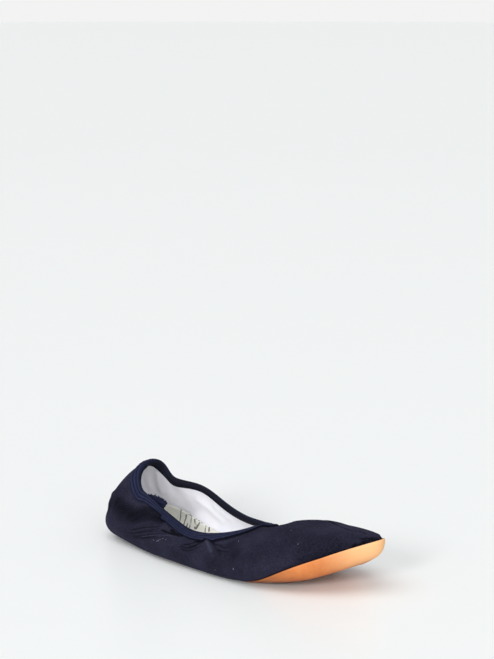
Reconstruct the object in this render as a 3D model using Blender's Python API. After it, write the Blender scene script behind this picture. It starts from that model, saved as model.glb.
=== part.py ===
"""A soft gymnastics slipper for the right foot, standing empty on its sole.

It is built the way the real one is made, from five pieces:

  upper         one hollow fabric shell, closed round the toe and heel,
                open at the collar and, inside its turned-in edge, underneath
  outsole       a thin rubber sheet, flat under the foot and drawn up round
                the forefoot and toe like the bow of a boat
  insole        the sock that lies inside on the turned-in edge
  binding       the elastic tape folded over the whole collar edge
  binding_end   the loose end of that tape, inside the collar

Metres, +Z up.  The toe points along +X, the inner (medial) side of the foot
is +Y, and the origin is the middle of the footprint's box, on the floor.
"""

import math

import bmesh
import bpy
import numpy as np

# ---------------------------------------------------------------- sizes

LENGTH = 0.245  # heel to toe, outside
BALL_WIDTH = 0.084  # across the ball of the foot, outside
HEEL_HEIGHT = 0.059  # floor to the upper's edge at the back of the heel

WALL = 0.0014  # canvas and lining together
SOLE = 0.0018  # outsole under the foot
SOLE_RIM = 0.0010  # outsole where it ends on the upper
SOCK = 0.0015  # insole
TAPE = 0.0008  # one layer of the elastic binding
TAPE_WIDTH = 0.0066  # what shows of the binding on each face where it lies flat
GAP = 0.0003  # glue line between two pieces
SLACK = 0.0004  # the insole only leans on the sides

STAND = 0.0005  # the fabric clears the floor by this much beside the sole
ARCH_RISE = 0.0012  # how far the sole's waist clears the floor
ARCH = (0.24, 0.48)  # where that waist starts and ends, in lengths
TOE_SPRING = 0.0285  # how far the sole's tip would stand off the floor
SPRING_START = 0.62  # where the sole leaves the floor, in lengths
SPRING_POWER = 2.4  # how late it curls
SEAM_DEPTH = 0.0006  # the seam down the middle of the toe is sewn in
SEAM_WIDTH = 0.6  # half its width, in stations
SEAM_ENDS = (1.1, 1.9)  # levels that it runs between
SEAM_FADE = 0.2  # levels over which it fades at each end
MARGIN = -0.35  # level where the upper's turned-in edge ends underneath
JOG = 0.12  # levels that the upper takes to come out over the sole's rim
SOCK_STEP = 0.09  # levels inside that edge where the insole drops onto the outsole
THINNING = 0.5  # levels over which the sole thins to its rim
SOLE_TURN = 0.3  # levels over which the sole's edge rises from the floor to the skin
LEAN_START = 0.1  # level where the insole starts to lean on the sides
LEAN = 0.4  # levels over which it does so

STATIONS = 72  # places round the shoe where its sections are worked out
SPINE_ENDS = 0.020  # the middle line of the bottom stops this far from either end
STEP = 0.001  # small step along a level, to find directions
WELD = 0.000002  # points nearer than this are one
SHARP = 50  # degrees between faces that meet in a hard edge
TAPE_ROWS = (1, 0.5)  # shares of its width where the binding has a row of points
FOLD_STEPS = 4  # flats in the binding's fold

TAB_PLACE = (3.95, 4.65)  # the tape's loose end, in rows of the table from the heel
TAB_RISE = 0.0060  # how far it stands up past the collar
TAB_FALL = 0.1  # and how much of that it loses towards the front
TAB_CORNER = 0.8  # how much of it is missing at its torn back corner
TAB_STEEP = 3  # how much more it points up than along the wall
TAB_LEAN = 0.35  # how much it leans in
TAB_GAP = 0.0005  # how far it stands off the binding's flats
TAB_SEWN = 0.7  # share of the binding's width that it is sewn to
TAB_STEPS = 8  # places along it where its shape is worked out
TAB_DETAIL = 11  # times more stations than the shoe

# One row for each section, from the back of the heel along the outer
# (lateral) side to the toe, and back along the inner (medial) side.
# Lengthways columns are in hundredths of LENGTH, crossways ones in
# hundredths of half BALL_WIDTH, upright ones in hundredths of HEEL_HEIGHT.
#
#   side_*    the widest place of the section
#   rise      how strongly the wall runs straight up from there
#   collar_*  the upper's top edge
#   reach     how strongly the wall leaves that edge, outwards
#   lift      and how far up or down it does so
#   tape      how much of the binding's width shows, in hundredths of TAPE_WIDTH
#   tuck      how far the wall turns in from its widest place to the bottom
#   edge      where the outsole ends: 0 at the flat bottom, 1 at the side
#   sock      where the insole ends, in the same measure
SECTIONS = (
    ("name",
     "side_along", "side_across", "side_up", "rise",
     "collar_along", "collar_across", "collar_up", "reach", "lift", "tape",
     "tuck", "edge", "sock"),
    ("heel back",
     0.0, 0, 31, 22, 15.1, 0, 98, 8.8, -11, 110, 26, -0.15, 0.9),
    ("lateral heel turn",
     3.2, -45, 22, 36, 15.3, -15, 96, 5.1, -12, 135, 36, -0.15, 0.6),
    ("lateral heel",
     8.8, -64, 25, 34, 15.5, -29, 86, 4.5, -10, 122, 35, -0.15, 0.5),
    ("lateral breast",
     17.1, -72, 22, 16, 17.1, -37, 71, 1.8, -12, 130, 23, -0.15, 0.5),
    ("lateral pinch",
     25.3, -81, 20, 12, 21.2, -40, 62, 2.4, -3, 110, 17, -0.15, 0.5),
    ("lateral waist",
     35.5, -91, 20, 11, 32.2, -50, 47, 0.9, -9, 100, 12, -0.15, 0.5),
    ("lateral instep",
     46.5, -97, 20, 11, 41.9, -57, 38, 0.8, -8, 122, 19, -0.15, 0.5),
    ("lateral ball back",
     57.1, -101, 20, 15, 51.0, -54, 41, 1.5, -4, 138, 19, -0.15, 0.5),
    ("lateral ball",
     67.8, -101, 22, 20, 56.4, -31, 45, 4.0, 2, 145, 32, 0.36, 0.5),
    ("lateral toe",
     79.2, -86, 27, 24, 59.0, -12, 49, 8.0, 9, 125, 45, 0.79, 0.5),
    ("lateral tip",
     89.8, -48, 43, 25, 60.0, 0, 49, 12.6, 20, 105, 34, 0.98, 0.5),
    ("toe tip",
     99.0, 29, 58, 13, 60.4, 8, 48, 16.2, 21, 100, 24, 1.05, 0.5),
    ("medial tip",
     92.2, 74, 49, 14, 60.0, 16, 46, 13.5, 24, 100, 26, 1.02, 0.5),
    ("medial toe",
     82.9, 99, 34, 21, 59.0, 24, 47, 7.2, -8, 110, 28, 0.85, 0.5),
    ("medial ball",
     72.2, 102, 25, 20, 56.1, 34, 45, 4.0, -6, 110, 26, 0.40, 0.5),
    ("medial ball back",
     61.2, 88, 22, 15, 50.8, 43, 44, 2.0, -6, 85, 24, 0.00, 0.5),
    ("medial instep",
     49.8, 74, 22, 12, 43.2, 52, 45, 1.2, -6, 110, 24, -0.15, 0.40),
    ("medial waist",
     38.4, 64, 26, 12, 34.3, 57, 55, 1.1, -8, 85, 24, -0.15, 0.45),
    ("medial pinch",
     28.2, 64, 29, 12, 26.3, 52, 68, 1.1, -10, 55, 24, -0.15, 0.6),
    ("medial breast",
     19.2, 67, 29, 17, 19.0, 34, 74, 1.2, -12, 80, 24, -0.15, 0.8),
    ("medial heel",
     11.0, 67, 27, 23, 16.0, 26, 88, 3.1, -13, 165, 22, -0.15, 1.1),
    ("medial heel turn",
     2.8, 45, 29, 30, 15.4, 14, 96, 5.2, -13, 118, 21, -0.15, 1.0),
)

ALONG = LENGTH / 100
ACROSS = BALL_WIDTH / 2 / 100
UP = HEEL_HEIGHT / 100

# ---------------------------------------------------------------- curves


def ring(name, count):
    """A column of the table as count values on a smooth closed curve through its rows."""
    place = SECTIONS[0].index(name)
    values = np.array([row[place] for row in SECTIONS[1:]], float)
    rows = len(values)
    mix = 4 * np.eye(rows) + np.roll(np.eye(rows), 1, 0) + np.roll(np.eye(rows), -1, 0)
    knots = np.linalg.solve(mix / 6, values)
    t = np.arange(count) * rows / count
    i = np.floor(t).astype(int)
    f = t - i
    weights = (
        (1 - f) ** 3,
        3 * f**3 - 6 * f**2 + 4,
        -3 * f**3 + 3 * f**2 + 3 * f + 1,
        f**3,
    )
    return sum(w * knots[(i + k - 1) % rows] for k, w in enumerate(weights)) / 6


def ease(t):
    """0 before 0, 1 after 1, and a smooth step between."""
    t = np.clip(t, 0, 1)
    return t * t * (3 - 2 * t)


def ground(x):
    """Height of the sole's underside, at a distance from the back of the heel."""
    share = x / LENGTH
    waist = np.clip((share - ARCH[0]) / (ARCH[1] - ARCH[0]), 0, 1)
    toe = np.clip((share - SPRING_START) / (1 - SPRING_START), 0, None)
    return ARCH_RISE * np.sin(np.pi * waist) ** 2 + TOE_SPRING * toe**SPRING_POWER


def unit(v):
    return v / np.maximum(np.linalg.norm(v, axis=-1, keepdims=True), 1e-12)


class Form:
    """The outside of the shoe, as sections that stand round the foot.

    A place on a section is its level: -1 the middle of the bottom, 0 the
    edge of the flat bottom, 1 the widest place, 2 the collar.
    """

    def __init__(self, count):
        self.count = count
        self.side = self.points("side")
        self.collar = self.points("collar")
        self.rise = ring("rise", count)[:, None] * UP
        self.reach = ring("reach", count)[:, None] * ALONG
        self.lift = ring("lift", count)[:, None] * UP
        self.tape = ring("tape", count) * TAPE_WIDTH / 100
        self.edge = ring("edge", count)
        self.sock = ring("sock", count)
        self.foot = self.side + self.inward() * ring("tuck", count)[:, None] * ACROSS
        self.foot[:, 2] = STAND + ground(self.foot[:, 0])
        self.spine = self.middle_line()

    def points(self, name):
        return np.stack(
            [
                ring(name + "_along", self.count) * ALONG,
                ring(name + "_across", self.count) * ACROSS,
                ring(name + "_up", self.count) * UP,
            ],
            1,
        )

    def inward(self):
        """Level directions, square to the outline of the widest places."""
        run = np.roll(self.side, -1, 0) - np.roll(self.side, 1, 0)
        return unit(np.stack([-run[:, 1], run[:, 0], 0 * run[:, 0]], 1))

    def middle_line(self):
        """The line that the sections of both sides meet on, shorter than the bottom."""
        mate = self.foot[-np.arange(self.count) % self.count]
        middle = (self.foot + mate) / 2
        heel, toe = middle[:, 0].min(), middle[:, 0].max()
        share = (middle[:, 0] - heel) / (toe - heel)
        middle[:, 0] = heel + SPINE_ENDS + share * (toe - heel - 2 * SPINE_ENDS)
        half = self.count // 2
        order = np.argsort(middle[: half + 1, 0])
        line = middle[: half + 1][order]
        middle[:, 1] = np.interp(middle[:, 0], line[:, 0], line[:, 1])
        middle[:, 2] = STAND + ground(middle[:, 0])
        return middle

    def skin(self, level):
        """The points of all sections at a level, or at a level for each section."""
        level = np.broadcast_to(np.asarray(level, float), (self.count,))[:, None]
        bottom = self.foot + (self.spine - self.foot) * np.clip(-level, 0, 1)
        bottom[:, 2] = STAND + ground(bottom[:, 0])
        turn = np.clip(level, 0, 1) * math.pi / 2
        swing = np.concatenate([np.sin(turn), np.sin(turn), 1 - np.cos(turn)], 1)
        under = self.foot + (self.side - self.foot) * swing
        t = np.clip(level - 1, 0, 1)
        above = self.side + np.array([0, 0, 1]) * self.rise
        out = self.side - self.collar
        out[:, 2] = 0
        leave = self.collar + unit(out) * self.reach + np.array([0, 0, 1]) * self.lift
        wall = (
            (1 - t) ** 3 * self.side
            + 3 * (1 - t) ** 2 * t * above
            + 3 * (1 - t) * t**2 * leave
            + t**3 * self.collar
        )
        return np.where(level <= 0, bottom, np.where(level <= 1, under, wall))

    def outward(self, level):
        """Directions square to the skin at a level, away from the foot."""
        level = np.broadcast_to(np.asarray(level, float), (self.count,))
        here = self.skin(level)
        up = self.skin(np.minimum(level + STEP, 2)) - self.skin(np.maximum(level - STEP, STEP))
        run = np.roll(here, -1, 0) - np.roll(here, 1, 0)
        square = unit(np.cross(run, up))
        slope = (ground(here[:, 0] + STEP) - ground(here[:, 0])) / STEP
        down = unit(np.stack([slope, 0 * slope, -1 + 0 * slope], 1))
        return np.where(level[:, None] <= STEP, down, square)

    def offset(self, level, depth):
        """The skin at a level, moved inside by a depth."""
        depth = np.broadcast_to(np.asarray(depth, float), (self.count,))
        return self.skin(level) - self.outward(level) * depth[:, None]


# ---------------------------------------------------------------- layers
# Each is how deep a face lies inside the skin at a level, for each section.


def sole_under(form, level):
    return -STAND * (1 - ease(level / SOLE_TURN)) + 0 * form.edge


def sole_top(form, level):
    thick = SOLE_RIM + (SOLE - SOLE_RIM) * ease((form.edge - level) / THINNING)
    return sole_under(form, level) + thick


def upper_outside(form, level):
    """On the sole as far as the sole goes, and out at the skin just past its rim."""
    past = ease((level - form.edge) / JOG)
    return (sole_top(form, np.minimum(level, form.edge)) + GAP) * (1 - past)


def upper_inside(form, level):
    return upper_outside(form, level) + WALL


def sock_under(form, level):
    """On the outsole in the middle, and on the upper's turned-in edge round it."""
    middle = SOLE - STAND + GAP
    on_edge = middle + WALL + GAP
    on_side = upper_inside(form, level) + GAP + SLACK * ease(level / LEAN_START)
    near = on_edge + (on_side - on_edge) * ease((level - LEAN_START) / LEAN)
    return np.where(level < MARGIN - SOCK_STEP / 2, middle, np.maximum(near, on_side))


def sock_top(form, level):
    return np.maximum(sock_under(form, level), sock_under(form, level * 0 + MARGIN)) + SOCK


# ---------------------------------------------------------------- meshes


def levels_between(low, high, steps):
    """Rows of levels from low to high, which may differ from section to section."""
    return [low + (high - low) * k / steps for k in range(steps + 1)]


def tube(rows, name):
    """A closed body from rings, the last of which joins the first."""
    count = len(rows[0])
    turns = len(rows)
    faces = []
    for r in range(turns):
        for i in range(count):
            j = (i + 1) % count
            q = (r + 1) % turns
            faces.append((r * count + i, r * count + j, q * count + j, q * count + i))
    return solid(np.concatenate(rows), faces, name)


def plate(rows, name):
    """A closed body from rings, the first and last of which each close onto a line."""
    count = len(rows[0])
    faces = []
    for r in range(len(rows) - 1):
        for i in range(count):
            j = (i + 1) % count
            low, high = r * count, (r + 1) * count
            faces.append((low + i, low + j, high + j, high + i))
    return solid(np.concatenate(rows), faces, name)


def solid(points, faces, name):
    """A mesh object with its doubled points welded and its faces turned out."""
    mesh = bmesh.new()
    verts = [mesh.verts.new(p) for p in points]
    for face in faces:
        mesh.faces.new([verts[i] for i in face])
    bmesh.ops.remove_doubles(mesh, verts=mesh.verts, dist=WELD)
    bmesh.ops.dissolve_degenerate(mesh, edges=mesh.edges, dist=WELD)
    bmesh.ops.triangulate(mesh, faces=mesh.faces)
    bmesh.ops.recalc_face_normals(mesh, faces=mesh.faces)
    data = bpy.data.meshes.new(name)
    mesh.to_mesh(data)
    mesh.free()
    data.shade_smooth()
    data.set_sharp_from_angle(angle=math.radians(SHARP))
    body = bpy.data.objects.new(name, data)
    bpy.context.scene.collection.objects.link(body)
    return body


# ---------------------------------------------------------------- pieces


def on_tape(form, share):
    """The level of each section at a share of the tape's width down from the collar."""
    steps = np.linspace(2, 1.3, 71)
    path = np.stack([form.skin(level) for level in steps])
    run = np.linalg.norm(np.diff(path, axis=0), axis=2).cumsum(0)
    run = np.concatenate([np.zeros((1, form.count)), run])
    return np.array(
        [np.interp(form.tape[i] * share, run[:, i], steps) for i in range(form.count)]
    )


def tape_levels(form):
    """Levels of the binding's rows, upwards from its edge, which the upper shares."""
    return [on_tape(form, share) for share in TAPE_ROWS]


def toe_seam(form, level):
    """How deep the seam is sewn in at a level, for each section."""
    from_toe = (np.arange(form.count) - form.count / 2) / SEAM_WIDTH
    low, high = SEAM_ENDS
    ends = ease((level - low) / SEAM_FADE) * ease((high - level) / SEAM_FADE)
    return SEAM_DEPTH * np.exp(-(from_toe**2)) * ends


def make_upper(form):
    tape = tape_levels(form)
    rows = levels_between(MARGIN, form.edge, 5)
    rows += levels_between(form.edge + JOG, tape[0], 8)
    rows += tape[1:] + [2]
    outside = []
    inside = []
    for level in rows:
        level = level + 0 * form.edge
        sewn = toe_seam(form, level)
        outside.append(form.offset(level, upper_outside(form, level) + sewn))
        inside.append(form.offset(level, upper_inside(form, level)))
    return tube(outside + inside[::-1], "upper")


def make_outsole(form):
    rows = levels_between(-1, MARGIN, 2) + levels_between(MARGIN, form.edge, 5)[1:]
    rows = [level + 0 * form.edge for level in rows]
    under = [form.offset(level, sole_under(form, level)) for level in rows]
    top = [form.offset(level, sole_top(form, level)) for level in rows]
    return plate(under + top[::-1], "outsole")


def make_insole(form):
    rows = levels_between(-1, MARGIN - SOCK_STEP, 1)
    rows += levels_between(MARGIN - SOCK_STEP / 3, form.sock, 5)
    rows = [level + 0 * form.edge for level in rows]
    under = [form.offset(level, sock_under(form, level)) for level in rows]
    top = [form.offset(level, sock_top(form, level)) for level in rows]
    return plate(under + top[::-1], "insole")


def collar_axes(form):
    """At the collar, the directions up along the wall and outwards."""
    up = unit(form.skin(2) - form.skin(2 - 5 * STEP))
    return up, form.outward(2)


def make_binding(form):
    up, out = collar_axes(form)
    middle = form.offset(2, WALL / 2)
    legs = tape_levels(form)
    face = GAP + TAPE

    def fold(wide, high):
        """Half an ellipse over the collar, from its outer to its inner side."""
        turns = [math.pi * k / FOLD_STEPS for k in range(FOLD_STEPS + 1)]
        return [middle + out * wide * math.cos(a) + up * high * math.sin(a) for a in turns]

    rows = [form.offset(level, -face) for level in legs]
    rows += fold(WALL / 2 + face, face)
    rows += [form.offset(level, WALL + face) for level in legs[::-1]]
    rows += [form.offset(level, WALL + GAP) for level in legs]
    rows += [form.offset(2, WALL + GAP)]
    rows += [middle + out * side * WALL / 2 + up * GAP for side in (-1, 1)]
    rows += [form.offset(2, -GAP)]
    rows += [form.offset(level, -GAP) for level in legs[::-1]]
    return tube(rows, "binding")


def level_part(directions):
    """Directions laid flat on the floor."""
    return unit(directions * np.array([1, 1, 0]))


def make_binding_end():
    """A strip sewn to the inner face of the binding, which stands up past it."""
    fine = Form(STATIONS * TAB_DETAIL)
    rows_per_section = fine.count / (len(SECTIONS) - 1)
    first, last = (round(place * rows_per_section) for place in TAB_PLACE)
    span = np.linspace(first, last, TAB_STEPS + 1).round().astype(int)
    up, out = collar_axes(fine)
    back = WALL + GAP + TAPE + TAB_GAP
    sewn = fine.offset(on_tape(fine, TAB_SEWN), back)
    collar = fine.offset(2, back) + up * (2 * GAP + TAPE)
    share = (span - first) / (last - first)
    tall = TAB_RISE * (1 - TAB_FALL * share) * (1 - TAB_CORNER * (1 - ease(share * 4)))
    rise = unit(up[span] + np.array([0, 0, TAB_STEEP]) - level_part(out[span]) * TAB_LEAN)
    tip = collar[span] + rise * tall[:, None]
    near = [sewn[span], collar[span], tip]
    far = [row - level_part(out[span]) * TAPE for row in near]
    ring_rows = near + far[::-1]
    count = len(span)
    faces = []
    for r in range(len(ring_rows)):
        q = (r + 1) % len(ring_rows)
        for i in range(count - 1):
            faces.append((r * count + i, r * count + i + 1, q * count + i + 1, q * count + i))
    for end in (0, count - 1):
        for r in range(2):
            a, b = r * count + end, (r + 1) * count + end
            c, d = (4 - r) * count + end, (5 - r) * count + end
            faces.append((a, b, c, d))
    return solid(np.concatenate(ring_rows), faces, "binding_end")


# name: colour, roughness, sheen
FINISHES = {
    "upper": ((0.013, 0.013, 0.025, 1), 0.85, 0.4),
    "outsole": ((0.80, 0.38, 0.13, 1), 0.55, 0.0),
    "insole": ((0.70, 0.68, 0.62, 1), 0.80, 0.1),
    "binding": ((0.016, 0.021, 0.060, 1), 0.75, 0.3),
    "binding_end": ((0.012, 0.015, 0.042, 1), 0.80, 0.3),
}


def finish(body):
    colour, rough, sheen = FINISHES[body.name]
    material = bpy.data.materials.new(body.name)
    material.use_nodes = True
    shader = material.node_tree.nodes["Principled BSDF"]
    shader.inputs["Base Color"].default_value = colour
    shader.inputs["Roughness"].default_value = rough
    shader.inputs["Metallic"].default_value = 0
    shader.inputs["Sheen Weight"].default_value = sheen
    body.data.materials.append(material)


def centre(bodies):
    """Move all the points so that the footprint's box has its middle at the origin."""
    points = np.array([v.co for body in bodies for v in body.data.vertices])
    middle = (points.min(0) + points.max(0)) / 2
    for body in bodies:
        for v in body.data.vertices:
            v.co.x -= middle[0]
            v.co.y -= middle[1]


for old in list(bpy.data.objects):
    bpy.data.objects.remove(old)
shoe = Form(STATIONS)
pieces = [
    make_upper(shoe),
    make_outsole(shoe),
    make_insole(shoe),
    make_binding(shoe),
    make_binding_end(),
]
for piece in pieces:
    finish(piece)
centre(pieces)
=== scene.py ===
# %% [markdown]
# # Dressing a gymnastics slipper
#
# A gymnastics slipper is a bag of navy canvas, lined with white cotton, on a
# thin tan sole. An elastic band is folded over its collar, and a printed sock
# lies inside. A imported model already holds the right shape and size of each
# of these pieces, and it never changes here. This lesson makes a finer twin of
# each piece from the same table of sections, presses the folds and seams into
# it, gives it its finish, and lets it stand for the plain one.

# %% Load the frame
import math

import bmesh
import bpy
import numpy as np
from mathutils import Matrix, Vector


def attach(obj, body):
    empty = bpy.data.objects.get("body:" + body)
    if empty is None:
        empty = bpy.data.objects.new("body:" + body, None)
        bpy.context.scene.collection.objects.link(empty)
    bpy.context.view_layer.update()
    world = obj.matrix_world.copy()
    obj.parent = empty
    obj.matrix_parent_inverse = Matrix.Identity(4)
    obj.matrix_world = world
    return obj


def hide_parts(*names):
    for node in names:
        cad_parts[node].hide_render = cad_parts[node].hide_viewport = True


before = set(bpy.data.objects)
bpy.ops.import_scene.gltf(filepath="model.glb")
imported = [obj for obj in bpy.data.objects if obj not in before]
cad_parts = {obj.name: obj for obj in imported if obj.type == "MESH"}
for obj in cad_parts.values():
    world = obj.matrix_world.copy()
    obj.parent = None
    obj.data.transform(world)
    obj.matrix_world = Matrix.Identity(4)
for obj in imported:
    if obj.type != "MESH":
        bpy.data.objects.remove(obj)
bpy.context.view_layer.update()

# %% [markdown]
# ## The shoe's sizes
#
# All sizes are in metres. Naming them once keeps every piece in step: the
# binding knows how thick the wall is, and the sole knows where the canvas ends.
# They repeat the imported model's own values, because the twins must fill the
# same space.

# %% Sizes
LENGTH = 0.245
BALL_WIDTH = 0.084
HEEL_HEIGHT = 0.059
CENTRE = np.array([0.121105, 0.000211, 0])  # middle of the footprint, from the back of the heel

CANVAS = 0.0008
LINING = 0.0005
WALL = 0.0014  # canvas, glue and lining
SOLE = 0.0018
SOLE_RIM = 0.0010  # the sole where it ends on the canvas
SOCK = 0.0015
TAPE = 0.0008  # one layer of the elastic
TAPE_WIDTH = 0.0066  # the table gives what shows of the tape in hundredths of this
GAP = 0.0003  # between two pieces that lie on one another
SLACK = 0.0004  # added to it between the wall and the sock's raised edge
STAND = 0.0005  # how far the skin of the shoe clears the floor

ARCH_RISE = 0.0012  # how far the sole's waist clears the floor
ARCH = (0.24, 0.48)  # where that waist starts and ends, in lengths
TOE_SPRING = 0.0285  # how far the sole would stand off the floor at the full length
SPRING_START = 0.62  # where the sole leaves the floor, in lengths
SPRING_POWER = 2.4  # how late it curls

# The next ones are in levels, which the section on the skin explains.
MARGIN = -0.35  # where the upper's turned-in edge ends under the foot
JOG = 0.12  # past the sole's rim the upper comes out to the skin over this
SOCK_STEP = 0.09  # the sock steps up on to the turned-in edge within this
THINNING = 0.5  # the sole thins to its rim over this
SOLE_TURN = 0.3  # beside the flat bottom the sole's underside comes to the skin over this
LEAN_START = 0.1  # where the sock's raised edge begins to lean over to the wall
LEAN = 0.4  # and over how much it gets there
SPINE_ENDS = 0.020  # in metres: the bottom's middle line stops this far short of heel and toe

STATIONS = 660
# Where the stations stand closer, in sections: from, to, how much.
CROWDED = ((0.9, 7.8, 1.5), (2.0, 5.6, 1.6), (9.7, 12.3, 1.3))
print("stations round the shoe:", STATIONS)

# %% [markdown]
# ## The table of sections
#
# A shoe has no single profile that could be spun or extruded, so its last is
# drawn as sections that stand round the foot like the pages of an open book.
# Each row is one section, from the back of the heel along the outer side to
# the toe and back along the inner side. Lengthways columns are in hundredths
# of the length, crossways ones in hundredths of half the width, and upright
# ones in hundredths of the heel's height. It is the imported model's table, with
# a few values of the sock's and the rubber's edges corrected since.

# %% Sections
SECTIONS = """
name              side_along side_across side_up rise collar_along collar_across collar_up reach lift tape tuck edge sock
heel_back             0     0    31    22  15.1     0    98   8.8   -11   110    26 -0.15   0.9
lateral_heel_turn   3.2   -45    22    36  15.3   -15    96   5.1   -12   135    36 -0.15   0.6
lateral_heel        8.8   -64    25    34  15.5   -29    86   4.5   -10   122    35 -0.15   0.5
lateral_breast     17.1   -72    22    16  17.1   -37    71   1.8   -12   130    23 -0.15   0.5
lateral_pinch      25.3   -81    20    12  21.2   -40    62   2.4    -3   110    17 -0.15   0.5
lateral_waist      35.5   -91    20    11  32.2   -50    47   0.9    -9   100    12 -0.15   0.5
lateral_instep     46.5   -97    20    11  41.9   -57    38   0.8    -8   122    19 -0.15   0.5
lateral_ball_back  57.1  -101    20    15    51   -54    41   1.5    -4   138    19 -0.15   0.5
lateral_ball       67.8  -101    22    20  56.4   -31    45     4     2   145    32  0.12   0.5
lateral_toe        79.2   -86    27    24    59   -12    49     8     9   125    45  0.80   0.5
lateral_tip        89.8   -48    43    25    60     0    49  12.6    20   105    34  0.98   0.5
toe_tip              99    29    58    13  60.4     8    48  16.2    21   100    24  1.05   0.5
medial_tip         92.2    74    49    14    60    16    46  13.5    24   100    26  1.02   0.5
medial_toe         82.9    99    34    21    59    24    47   7.2    -8   110    28  0.85   0.5
medial_ball        72.2   102    25    20  56.1    34    45     4    -6   110    26   0.4   0.5
medial_ball_back   61.2    88    22    15  50.8    43    44     2    -6    85    24     0   0.5
medial_instep      49.8    74    22    12  43.2    52    45   1.2    -6   110    24 -0.15   0.4
medial_waist       38.4    64    26    12  34.3    57    55   1.1    -8    85    24 -0.15  0.56
medial_pinch       28.2    64    29    12  26.3    52    68   1.1   -10    55    24 -0.15   0.74
medial_breast      19.2    67    29    17    19    34    74   1.2   -12    80    24 -0.15   0.97
medial_heel          11    67    27    23    16    26    88   3.1   -13   165    22 -0.15   1.08
medial_heel_turn    2.8    45    29    30  15.4    14    96   5.2   -13   118    21 -0.15     1
"""
head, *body_rows = [line.split() for line in SECTIONS.strip().splitlines()]
COLUMNS = {
    name: np.array([float(row[k]) for row in body_rows])
    for k, name in enumerate(head)
    if k > 0
}
ROWS = len(body_rows)
even = np.linspace(0, ROWS, 2201)
crowd = 1 + sum(
    extra * (1 / (1 + np.exp((low - even) / 0.15)) - 1 / (1 + np.exp((high - even) / 0.15)))
    for low, high, extra in CROWDED
)
crowded = np.concatenate([[0], ((crowd[1:] + crowd[:-1]) / 2).cumsum()])
place = np.interp(np.arange(STATIONS) / STATIONS * crowded[-1], crowded, even)  # in the table
print(ROWS, "sections in", len(COLUMNS), "columns")

# %% [markdown]
# ## From the table to smooth curves
#
# A column of the table becomes a closed curve through its rows. A cubic
# B-spline does that without corners or overshoot, and because the curve is
# closed it has no start and no end to hide. `ease` is the soft step that
# nearly every fold and edge below is made with.


# %% Curves
def ring(column):
    """A column as one value for each station."""
    values = COLUMNS[column]
    mix = 4 * np.eye(ROWS) + np.roll(np.eye(ROWS), 1, 0) + np.roll(np.eye(ROWS), -1, 0)
    knots = np.linalg.solve(mix / 6, values)
    i = np.floor(place).astype(int)
    f = place - i
    weights = ((1 - f) ** 3, 3 * f**3 - 6 * f**2 + 4, -3 * f**3 + 3 * f**2 + 3 * f + 1, f**3)
    return sum(w * knots[(i + k - 1) % ROWS] for k, w in enumerate(weights)) / 6


def ease(t):
    t = np.clip(t, 0, 1)
    return t * t * (3 - 2 * t)


def unit(v):
    return v / np.maximum(np.linalg.norm(v, axis=-1, keepdims=True), 1e-12)


def curve3(name):
    """The three columns of a curve in space, in metres."""
    return np.stack(
        [
            ring(name + "_along") * LENGTH / 100,
            ring(name + "_across") * BALL_WIDTH / 200,
            ring(name + "_up") * HEEL_HEIGHT / 100,
        ],
        1,
    )


def ground(x):
    """Height of the sole's underside: an arch at the waist and a spring at the toe."""
    share = x / LENGTH
    waist = np.clip((share - ARCH[0]) / (ARCH[1] - ARCH[0]), 0, 1)
    toe = np.clip((share - SPRING_START) / (1 - SPRING_START), 0, None)
    return ARCH_RISE * np.sin(np.pi * waist) ** 2 + TOE_SPRING * toe**SPRING_POWER


# %% The shoe's own curves
side = curve3("side")
collar = curve3("collar")
rise = ring("rise")[:, None] * HEEL_HEIGHT / 100
reach = ring("reach")[:, None] * LENGTH / 100
lift = ring("lift")[:, None] * HEEL_HEIGHT / 100
edge = ring("edge")
sock = ring("sock")
LAP_PLACE = 4.66  # where the front end of the tape laps over the back one, in sections
DRAWN_REACH, DRAWN = 0.45, 0.42  # behind the lap the tape is drawn narrow, by this share
FULL_PLACE, FULL_REACH, FULLER = 15.9, 1.1, 0.30  # on the inner side it lies wider, by this share
tape = ring("tape") * TAPE_WIDTH / 100
drawn = np.exp(-(((place - LAP_PLACE) / DRAWN_REACH) ** 2)) * (place < LAP_PLACE)
tape = tape * (1 - DRAWN * drawn)
tape = tape * (1 + FULLER * np.exp(-(((place - FULL_PLACE) / FULL_REACH) ** 2)))
print("widest outline:", side.min(0).round(3), "to", side.max(0).round(3))

# %% [markdown]
# ## The skin of the shoe
#
# A place on a section is called its level: -1 is the middle of the bottom, 0
# the edge of the flat bottom, 1 the widest place and 2 the collar. `skin` gives
# the outside of the shoe at a level for all stations at once. Every piece is
# then a layer that lies some depth inside this skin, which is how a real shoe
# is lasted, one layer over another.

# %% The flat bottom
run = np.roll(side, -1, 0) - np.roll(side, 1, 0)
inward = unit(np.stack([-run[:, 1], run[:, 0], 0 * run[:, 0]], 1))
foot = side + inward * ring("tuck")[:, None] * BALL_WIDTH / 200
foot[:, 2] = STAND + ground(foot[:, 0])

facing = (ROWS - place) % ROWS
mate = np.stack([np.interp(facing, place, foot[:, k], period=ROWS) for k in range(3)], 1)
spine = (foot + mate) / 2
heel_x, toe_x = spine[:, 0].min(), spine[:, 0].max()
share = (spine[:, 0] - heel_x) / (toe_x - heel_x)
spine[:, 0] = heel_x + SPINE_ENDS + share * (toe_x - heel_x - 2 * SPINE_ENDS)
half_line = spine[place <= ROWS / 2]
order = np.argsort(half_line[:, 0])
spine[:, 1] = np.interp(spine[:, 0], half_line[order, 0], half_line[order, 1])
spine[:, 2] = STAND + ground(spine[:, 0])
print("the bottom's middle line runs from", heel_x.round(3), "to", toe_x.round(3))


# %% [markdown]
# ### Skin and layers
#
# `skin` is the form itself and `outward` its direction at each place, found
# from its neighbours. With these two, `layer` can lay any cloth at any depth.


# %% Skin, its outward direction, and layers inside it
UPRIGHT = np.array([0, 0, 1])
STEP = 0.001


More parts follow.
